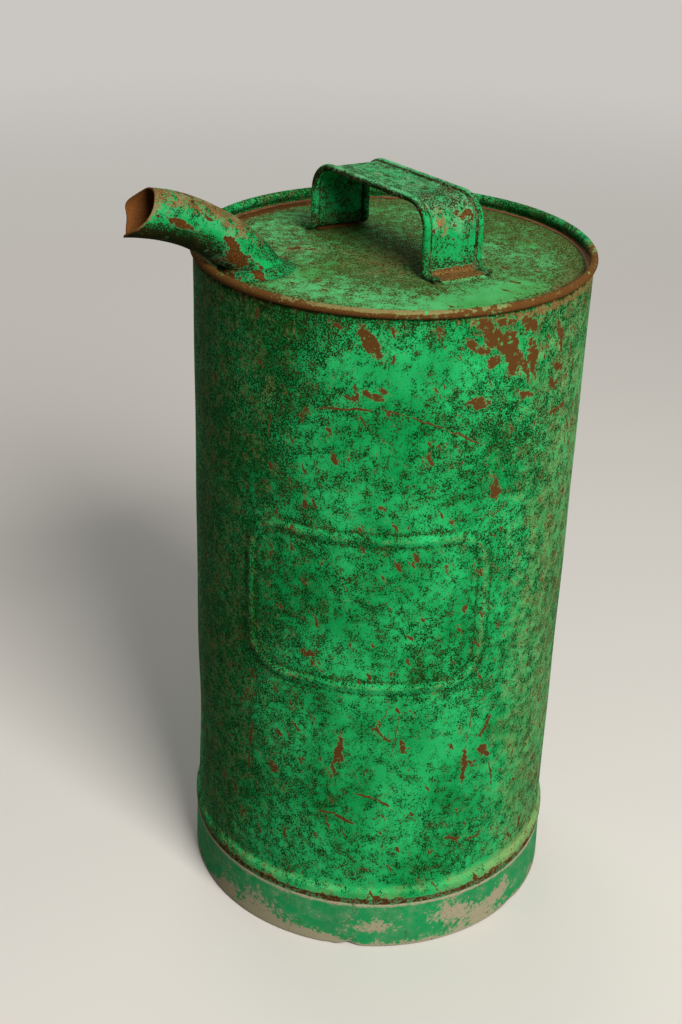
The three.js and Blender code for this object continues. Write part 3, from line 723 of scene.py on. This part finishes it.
# Hollows pressed into the crown: place, spread and depth.
sag = 0.5 * bump_of(top_x, -60, 30) * bump_of(top_y, 40, 35)
for hollow_x, hollow_y, spread, deep in ((25, 20, 22, 0.6), (30, -50, 25, 0.4), (-70, -30, 24, 0.5)):
    sag += deep * bump_of(np.hypot(top_x - hollow_x, top_y - hollow_y), 0, spread)
top_grid[..., 2] = np.where(on_crown[..., 0], level - sag * (1 - smooth(95, 112, reach)), top_grid[..., 2])

HANDLE_TURN = 102
LEG_PLACE = 52.25
handle_way = np.array([np.cos(np.radians(HANDLE_TURN)), np.sin(np.radians(HANDLE_TURN))])
lengthways = top_x * handle_way[0] + top_y * handle_way[1]
crossways = top_y * handle_way[0] - top_x * handle_way[1]
near_feet = bump_of(np.abs(lengthways), LEG_PLACE + 6, 13) * bump_of(crossways, 0, 22)
middle_dirt = bump_of(top_x, 14, 26) * bump_of(top_y, 20, 34)
edge_dirt = smooth(92, 113, reach)
bearing = np.degrees(np.arctan2(top_y, top_x))
far_edge = bump_of(bearing, -75, 45) * smooth(100, 110, reach)
right_edge = bump_of(bearing, 122, 26) * smooth(94, 110, reach)
front_strip = bump_of(top_x, -8, 45) * bump_of(top_y, 88, 16)
top_grime = 0.4 + 0.4 * middle_dirt + 0.3 * near_feet + 0.3 * edge_dirt - 0.3 * front_strip
top_rust = 0.24 + 0.3 * near_feet + 0.34 * middle_dirt + 0.5 * far_edge + 0.12 * edge_dirt
left_patch = bump_of(0.47 * top_y - 0.88 * top_x, -55, 14) * bump_of(0.88 * top_y + 0.47 * top_x, 4, 6)
top_rust += 0.5 * left_patch + 0.2 * right_edge
top_grime += 0.2 * right_edge
stained_enamel = worn_paint("stained_enamel_on_steel", ("#4eb26a", "#3e944a"), "#86ac6a", "#56541a",
                            "#352c08", ("#4d3115", "#704a24"), "#7d6a45", dull=0.65)
top_panel = skin("top_disc", top_grid, grime=top_grime, rust=top_rust, rub=0.1 + 0.3 * right_edge, chalk=0.1)
finished(top_panel, stained_enamel, "worn_green_paint", "top_panel")

# Top seam: soft solder wiped into the corner between the top and the wall, never painted well.
# It follows the rim all the way round, rough and stained with rust.
SEAM_SOLDER_WIDTH = 3.4
SEAM_SOLDER_RISE = 0.5
seam_in = PANEL_RADIUS - SEAM_SOLDER_WIDTH
seam_bed = top_face(seam_in) + CLEARANCE
bed = arc(corner_centre, PANEL_CORNER + SHEET / 2 + CLEARANCE, 90, 28, 8)
bed = bed[(bed[:, 0] > seam_in + 0.1) & (bed[:, 0] < PANEL_RADIUS - 0.1)]
fillet = np.linspace(0, 1, 8)
fillet_top = seam_bed + SEAM_SOLDER_RISE
fillet = np.stack([PANEL_RADIUS - SEAM_SOLDER_WIDTH * fillet,
                   fillet_top + (NECK_START - fillet_top) * (1 - fillet) ** 2], axis=1)
seam_outline = np.vstack([[[seam_in, seam_bed]], bed, [[PANEL_RADIUS, TOP_EDGE - PANEL_CORNER / 2]], fillet])
seam_grid = turned(seam_outline, whole_turn)
seam_top = (np.arange(len(seam_outline)) > len(bed) + 2)[:, None]
seam_grid[..., 2] -= 0.22 * seam_top * (1 + np.sin(17 * whole_turn) * np.sin(5 * whole_turn + 1))
wiped_solder = rusty_metal("rust_stained_solder", "#57361f", "#97683f", 0.006, 0.25, 0.7)
top_seam = skin("top_seam_fillet", seam_grid)
finished(top_seam, wiped_solder, "rusty_solder", "top_seam_solder")

# Spout: a strip of sheet rolled into a slightly tapered tube, bent through about 46 degrees and cut off
# at a slant, its lower lip drawn out into a beak. Its upper side is rubbed to tan, its bore is rusty.
MOUTH_LEAN = 8
MOUTH_TILT = 21
MOUTH_RADIUS = 14.0
SPOUT_TAIL = 3.0
# The beak and the ear of the lip: reach in millimetres, angle and spread in degrees.
BEAK = (6.6, 218, 36)
EAR = (4.5, 82, 27)
spout_angle = np.linspace(0, 2 * np.pi, 97)[:-1]
spout_share = np.r_[-1, np.linspace(0, 1, 90)][:, None]


def lip_reach(angle):
    """How far the mouth's edge stands past its slanted cut: a bell for the beak and one for the ear."""
    return sum(reach * bump_of((np.degrees(angle) - turn + 180) % 360 - 180, 0, spread)
               for reach, turn, spread in (BEAK, EAR))


def spout_rings(thinner):
    """Circles along an arc: leaning less and less towards the mouth, flat on the top at the foot, and
    slanted and drawn out at the mouth as far as the cube of the share of the way says."""
    way = np.maximum(spout_share, 0)
    lean = foot_lean + (np.radians(MOUTH_LEAN) - foot_lean) * way
    tail = np.where(spout_share < 0, -SPOUT_TAIL / np.sin(lean), 0)
    drawn = tail + lip_reach(spout_angle) * way ** 3
    centre_x = BEND_CENTRE[0] - SPOUT_BEND * np.sin(lean) + drawn * np.cos(lean)
    centre_z = BEND_CENTRE[1] + SPOUT_BEND * np.cos(lean) + drawn * np.sin(lean)
    tilt = np.tan((np.pi / 2 - foot_lean) * (1 - way) ** 3 + np.radians(MOUTH_TILT) * way ** 3)
    up_x = -np.sin(lean) - np.cos(lean) * tilt
    up_z = np.cos(lean) - np.sin(lean) * tilt
    radius = SPOUT_RADIUS + (MOUTH_RADIUS - SPOUT_RADIUS) * way - thinner
    dented = 0.35 * bump_of(way, 0.55, 0.16) * (1 + np.cos(3 * spout_angle + 1))
    dented = dented + 0.2 * smooth(0.86, 1, way) * (1 + np.sin(2 * spout_angle) * np.cos(5 * spout_angle))
    radius = radius - dented * smooth(0.02, 0.2, way)
    return np.stack([centre_x + up_x * radius * np.cos(spout_angle), -radius * np.sin(spout_angle),
                     centre_z + up_z * radius * np.cos(spout_angle)], axis=-1)


spout_grid = np.concatenate([spout_rings(0), spout_rings(SHEET)[::-1]])
way = np.r_[spout_share, spout_share[::-1]]
bore = (np.arange(len(way)) >= len(spout_share))[:, None]
around = np.degrees(spout_angle)[None, :]
upward = np.cos(spout_angle + np.radians(8))[None, :]
spout_rub = 0.12 + 0.46 * smooth(0.1, 0.95, upward) * smooth(0.02, 0.4, way) + 0.5 * smooth(0.96, 1, way)
# A painted highlight: a pale mint band along the side of the spout.
spout_chalk = 0.45 * bump_of(around, 298, 24) * smooth(0.1, 0.5, way)
# Painted shade: the underside is darkened heavily with film and pits, beyond its grime; the top gets a little
# more grime.
spout_grime = 0.2 + 1.2 * (1 - smooth(-0.65, 0.3, upward)) + 0.25 * smooth(0.3, 0.9, upward)
underside = (1 - smooth(-0.6, 0.0, upward)) * smooth(0.1, 0.3, way) * (1 - smooth(0.4, 0.6, way))
spout_rust = 0.26 + 0.24 * underside
# Rust patches: share of the way, angle, and half sizes of both.
for at, turn, long, wide in ((0.73, 267, 0.08, 9), (0.81, 276, 0.06, 7), (0.39, 276, 0.07, 9),
                             (0.28, 256, 0.1, 18), (0.06, 277, 0.09, 6), (0.6, 300, 0.05, 7)):
    spout_rust += 0.7 * bump_of(way, at, long) * bump_of(around, turn, wide)
spout_rust = np.where(bore, 1.8, spout_rust)
# The film colour is kept dark, as it also paints the shade on the spout's underside.
rubbed_enamel = worn_paint("rubbed_enamel_on_steel", ("#14ae5e", "#10924b"), "#5cb47c", "#0d3a16", "#161e08",
                           ("#452a0c", "#6f4420"), "#77714a", dull=0.65)
spout_tube = skin("spout", spout_grid, grime=spout_grime, rust=spout_rust, rub=spout_rub, chalk=spout_chalk)
finished(spout_tube, rubbed_enamel, "worn_green_paint", "spout_tube")

# Spout solder: a skirt of solder run round the foot of the spout and painted with the rest.
# It hollows from the tube down to the top and thins out unevenly.
SPOUT_SOLDER_WIDTH = 6.0
SPOUT_SOLDER_HEIGHT = 5.0
skirt_share = np.linspace(0, 1, 14)
skirt_spread = SHEET + (SPOUT_SOLDER_WIDTH - SHEET) * (1 - skirt_share) ** 2
loop_spread = np.r_[np.linspace(0.1, SPOUT_SOLDER_WIDTH, 5)[:-1], skirt_spread, 0.1, 0.1][:, None]
loop_share = np.r_[np.zeros(4), skirt_share, 1, 0.5][:, None]
uneven = 1 - 0.1 * (1 + np.sin(3 * spout_angle + 2) * np.cos(5 * spout_angle))
loop_spread = 0.1 + (loop_spread - 0.1) * uneven
seat = top_face(spout_foot)
rise = SPOUT_SOLDER_HEIGHT * loop_share
tube_x = spout_foot + (seat + rise - TOP_EDGE) / np.tan(foot_lean)
tube_round = SPOUT_RADIUS + CLEARANCE
solder_x = tube_x + np.cos(spout_angle) * (tube_round / np.sin(foot_lean) + loop_spread)
solder_y = np.sin(spout_angle) * (tube_round + loop_spread)
solder_reach = np.hypot(solder_x, solder_y)
held_in = np.minimum(1, (seam_in - CLEARANCE) / solder_reach)
solder_x, solder_y = solder_x * held_in, solder_y * held_in
solder_floor = top_face(np.hypot(solder_x, solder_y)) + CLEARANCE
solder_z = solder_floor + (seat + rise - solder_floor) * loop_share
solder_grid = np.stack([solder_x, solder_y, solder_z], axis=-1)
solder_around = np.degrees(np.arctan2(np.sin(spout_angle), np.cos(spout_angle)))[None, :]
solder_rust = 0.3 + 0.7 * bump_of(solder_around, 84, 8) + 0.5 * bump_of(solder_around, 20, 40)
spout_solder = skin("spout_solder_skirt", solder_grid, grime=0.45, rust=solder_rust, rub=0.15, chalk=0.0)
finished(spout_solder, rubbed_enamel, "green_paint", "spout_solder")

# Handle: a strap of sheet with both long edges curled over wires, bent up at two corners, with its
# feet turned outwards, pressed flat and soldered to the top. It has been pushed out of square. Hands
# have rubbed it, and rust sits at its feet.
HANDLE_WIDTH = 39.0
HANDLE_RISE = 44.4
HANDLE_BEND = 16.0
HANDLE_WIRE = 2.0
HANDLE_NECK = 4.0
HANDLE_RACK = 9.6
FOOT_REACH = 11.0
FOOT_BEND = 4.5
FOOT_HEM = 0.6


def bead_of(wire):
    """Outer radius of a sheet edge curled round a wire."""
    return wire / 2 + CLEARANCE + SHEET


wire_place = HANDLE_WIDTH / 2 - bead_of(HANDLE_WIRE)
hem_place = HANDLE_WIDTH / 2 - bead_of(FOOT_HEM)
foot_tip = LEG_PLACE + FOOT_REACH
foot_level = top_face(LEG_PLACE) + CLEARANCE + bead_of(FOOT_HEM)
grip_level = top_face(0) + HANDLE_RISE - bead_of(HANDLE_WIRE)
half_line = np.vstack([
    [[foot_tip, foot_level]],
    arc((LEG_PLACE + FOOT_BEND, foot_level + FOOT_BEND), FOOT_BEND, 270, 180, 9),
    arc((LEG_PLACE - HANDLE_BEND, grip_level - HANDLE_BEND), HANDLE_BEND, 0, 90, 17),
])
handle_line = closer(np.vstack([half_line * [-1, 1], half_line[::-1]]), 1.2)


def stood(along, across, level):
    """Places along and across the handle, racked and turned to the way it stands on the top."""
    along = along + across * np.tan(np.radians(HANDLE_RACK))
    return np.stack([along * handle_way[0] - across * handle_way[1],
                     along * handle_way[1] + across * handle_way[0], level + 0 * along], axis=-1)


def swept(sections, line):
    """Sections of (across, outward) points, one for all or one for each, carried along the line."""
    out_way = (parallel(line, -1) - line)[:, None, :]
    place = line[:, None, :] + sections[..., 1:] * out_way
    return stood(place[..., 0], sections[..., 0], place[..., 1])


def strap_outline(wire):
    """The outline across the strap: a flat middle, and on both sides an edge curled round a wire."""
    flat_end = HANDLE_WIDTH / 2 - bead_of(wire) - HANDLE_NECK
    edge = wired_edge(HANDLE_NECK, wire) + [flat_end, 0]
    flat = np.linspace(-flat_end, flat_end, 27)[1:-1]
    flat = np.stack([flat, 0 * flat], axis=1)
    return sheet_outline(np.vstack([edge[::-1] * [-1, 1], flat, edge]))


risen = handle_line[:, 1:] - foot_level
along = handle_line[:, :1]
wired = np.clip(risen / FOOT_BEND, 0, 1)[..., None]
strap_sections = strap_outline(FOOT_HEM) * (1 - wired) + strap_outline(HANDLE_WIRE) * wired
strap_grid = swept(strap_sections, handle_line)
across = strap_sections[..., 0]
outer_face = (np.arange(across.shape[1]) >= across.shape[1] // 2)[None, :]
flat_end = wire_place - HANDLE_NECK
on_flat = 1 - smooth(flat_end - 1, flat_end + 1, np.abs(across))
on_grip = smooth(grip_level - foot_level - 8, grip_level - foot_level - 1, risen)
strap_grid[..., 2] -= 0.9 * on_flat * on_grip * bump_of(along, 6, 24) * bump_of(across, 2, 9)
# A dark line of stipple in the groove beside each bead, partly dirt and partly painted shade.
in_groove = bump_of(np.abs(across), flat_end + 1.5, 0.5)
front_leg = smooth(36, 48, along)
heel = (1 - smooth(0.6, 4.5, risen)) * on_flat * (0.25 + 0.75 * smooth(0, 20, along))
outward = strap_sections[..., 1]
# Painted shade: the outer side of each bead, high on the legs and along the grip, is darkened with stipple,
# with a little rust on the grip.
bead_side = smooth(wire_place, wire_place + 1.5, np.abs(across)) * (1 - smooth(-0.3, 1.8, outward))
strap_grime = 0.28 + 1.7 * in_groove + (0.08 * front_leg + 0.08 * on_grip) * on_flat
strap_grime += 0.35 * (1 - smooth(3, 12, risen)) + 1.4 * bead_side * smooth(22, 34, risen)
strap_grime += 0.2 * on_grip * bump_of(along, 36, 7) * on_flat
strap_rust = 0.24 + 0.3 * in_groove + 0.95 * heel + 0.25 * bead_side * on_grip
# Chips on the front leg: height over the foot, place across, and half sizes of both.
for at, side, tall, wide in ((26, 0.5, 3.5, 2.2), (33, 9, 2.5, 3.5), (34, 2, 2, 2), (38, -4, 1.6, 2.6),
                             (31, 6, 1.6, 1.6)):
    strap_rust += 0.6 * front_leg * bump_of(risen, at, tall) * bump_of(across, side, wide)
strap_rub = 0.12 + 0.36 * front_leg * bump_of(risen, 28, 11) * bump_of(across, -7, 7)
strap_rub += 0.1 * on_grip * outer_face
# Paler paint: a painted highlight along the beads, and on the grip's outer face rubbed paint with a painted
# sheen.
strap_chalk = 0.08 * smooth(flat_end + 2, wire_place, np.abs(across)) + 0.42 * on_grip * outer_face
strap_chalk += 0.4 * front_leg * bump_of(risen, 28, 14) * on_flat
strap_enamel = worn_paint("hand_rubbed_enamel_on_steel", ("#1cac60", "#10924b"), "#7cb888", "#2c4a1c",
                          "#1e240c", ("#4a2f10", "#86673a"), "#83693c", dull=0.6)
handle_strap = skin("handle", strap_grid, "strip", grime=strap_grime, rust=strap_rust, rub=strap_rub,
                    chalk=strap_chalk)
finished(handle_strap, strap_enamel, "green_paint", "handle_strap")

# Handle wires: one drawn steel wire in each curled edge, cut off where the feet are pressed flat.
# Only the slits beside the curls show them.
wire_line = handle_line[handle_line[:, 1] > foot_level + FOOT_BEND - 0.01]
for wire_name, wire_side in (("handle_wire_spout_side", -1), ("handle_wire_far_side", 1)):
    wire_grid = swept(wire_ring((wire_side * wire_place, 0), HANDLE_WIRE)[None], wire_line)
    wire_ends = wire_grid.mean(1, keepdims=True).repeat(WIRE_SIDES, 1)
    wire_grid = np.concatenate([wire_ends[:1], wire_grid, wire_ends[-1:]])
    handle_wire = skin(wire_name + "_core", wire_grid, "pole")
    finished(handle_wire, drawn_wire, "steel_wire", wire_name)

# Foot solder: a film of solder under each foot of the handle, between its hems, that runs out past the
# foot's tip. It was painted with the top, and rust has lifted the paint.
FOOT_SOLDER_SPILL = 4.0
FILM_STEPS = 25
film_half = hem_place - HANDLE_NECK
film_end = foot_tip + FOOT_SOLDER_SPILL
film_along = np.r_[LEG_PLACE, np.linspace(LEG_PLACE, foot_tip, 12),
                   np.linspace(foot_tip + 0.05, film_end, 16), film_end][:, None]
film_loop = np.r_[np.linspace(-1, 1, FILM_STEPS), np.linspace(1, -1, FILM_STEPS)][None, :]
film_top = (np.arange(2 * FILM_STEPS) < FILM_STEPS)[None, :]
spill = np.clip((film_along - foot_tip) / FOOT_SOLDER_SPILL, 0, 1)
under_foot = foot_level - SHEET / 2 - CLEARANCE
for solder_name, solder_side, film_rust in (
    ("handle_solder_left", 1, 0.45),
    ("handle_solder_right", -1, 0.9),
):
    wave = 0.5 + 0.25 * np.sin(5 * film_loop + 2 * solder_side) + 0.25 * np.sin(11 * film_loop)
    reach_out = film_along - spill * 2.4 * wave
    bottom = top_face(reach_out) + CLEARANCE
    run_out = bottom + 0.4 * (foot_level - bottom) * (1 - spill) ** 2
    crest = np.where(film_along <= foot_tip, under_foot, run_out)
    film_z = np.where(film_top, np.maximum(crest, bottom + 0.1), bottom)
    film_grid = stood(reach_out * solder_side, film_loop * film_half * solder_side, film_z)
    film_grid[0] = film_grid[0].mean(0)
    film_grid[-1] = film_grid[-1].mean(0)
    film = skin(solder_name + "_film", film_grid, "pole", grime=0.45, rub=0.1, rust=film_rust - 0.2 * spill)
    finished(film, stained_enamel, "rusty_solder", solder_name)
